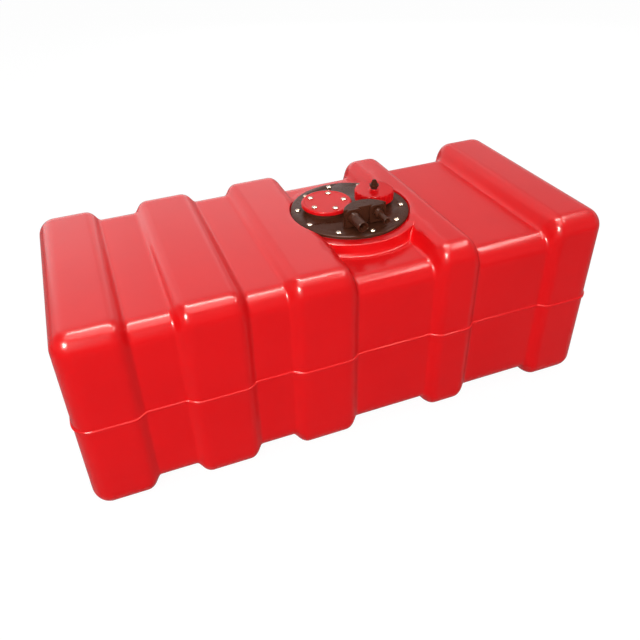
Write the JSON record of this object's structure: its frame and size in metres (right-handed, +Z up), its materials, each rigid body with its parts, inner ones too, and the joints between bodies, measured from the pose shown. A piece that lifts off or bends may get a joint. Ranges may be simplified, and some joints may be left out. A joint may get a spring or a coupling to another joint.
{
  "type": "outboard fuel tank",
  "caption": "Ribbed hollow fuel tank on a flat base, with a round top flange carrying a sender seat, a vented screw filler cap, a breather tail and a fuel outlet tail.",
  "frame": {"origin": "centre of the rectangle that the tank stands on, at the height of the surface it stands on", "axes": "+X along the tank's length, towards the end beyond the filler cap; +Y to the back, away from the hose tails; +Z up"},
  "size_m": [0.804, 0.354, 0.3344],
  "materials": {
    "red_polyethylene": "rotomoulded, satin gloss with a faint grain",
    "red_nylon": "injection moulded, semi gloss",
    "black_nylon": "glass filled, fine matt grain",
    "stainless_steel": "bright",
    "brass": "turned and knurled",
    "nitrile_rubber": "matt",
    "natural_nylon": "translucent off white"
  },
  "bodies": {
    "tank": {"tank_shell": "red_polyethylene", "flange_inserts": "brass", "flange_gasket": "nitrile_rubber", "flange_plate": "black_nylon", "flange_screws": "stainless_steel", "sender_inserts": "brass", "sender_gasket": "nitrile_rubber", "sender_cover": "red_nylon", "sender_screws": "stainless_steel", "outlet_gasket": "nitrile_rubber", "outlet_block": "black_nylon", "outlet_screws": "stainless_steel", "breather_tail": "black_nylon", "breather_ring": "nitrile_rubber", "fuel_tail": "black_nylon", "fuel_ring": "nitrile_rubber", "pickup_tube": "natural_nylon", "pickup_strainer": "natural_nylon"},
    "cap_thread": {"cap_seal": "nitrile_rubber"},
    "cap": {"filler_cap": "red_nylon"},
    "vent_thread": {"vent_seal": "nitrile_rubber"},
    "vent": {"vent_screw": "black_nylon", "vent_clip": "stainless_steel"}
  },
  "joints": [
    {"name": "cap_rise", "type": "slide", "parent": "tank", "child": "cap_thread", "axis": [0, 0, 1], "range_m": [0, 0.012]},
    {"name": "cap_turn", "type": "hinge", "parent": "cap_thread", "child": "cap", "pos_m": [0.103, 0.0055, 0.31], "axis": [0, 0, 1], "range_deg": [0, 1080]},
    {"name": "vent_rise", "type": "slide", "parent": "cap", "child": "vent_thread", "axis": [0, 0, 1], "range_m": [0, 0.003]},
    {"name": "vent_turn", "type": "hinge", "parent": "vent_thread", "child": "vent", "pos_m": [0.103, 0.0055, 0.325], "axis": [0, 0, 1], "range_deg": [0, 720]}
  ],
  "couplings": [
    {"joint": "cap_rise", "follows": "cap_turn", "m_per_rad": 0.0006366},
    {"joint": "vent_turn", "follows": "vent_rise", "rad_per_m": 4188.8}
  ]
}
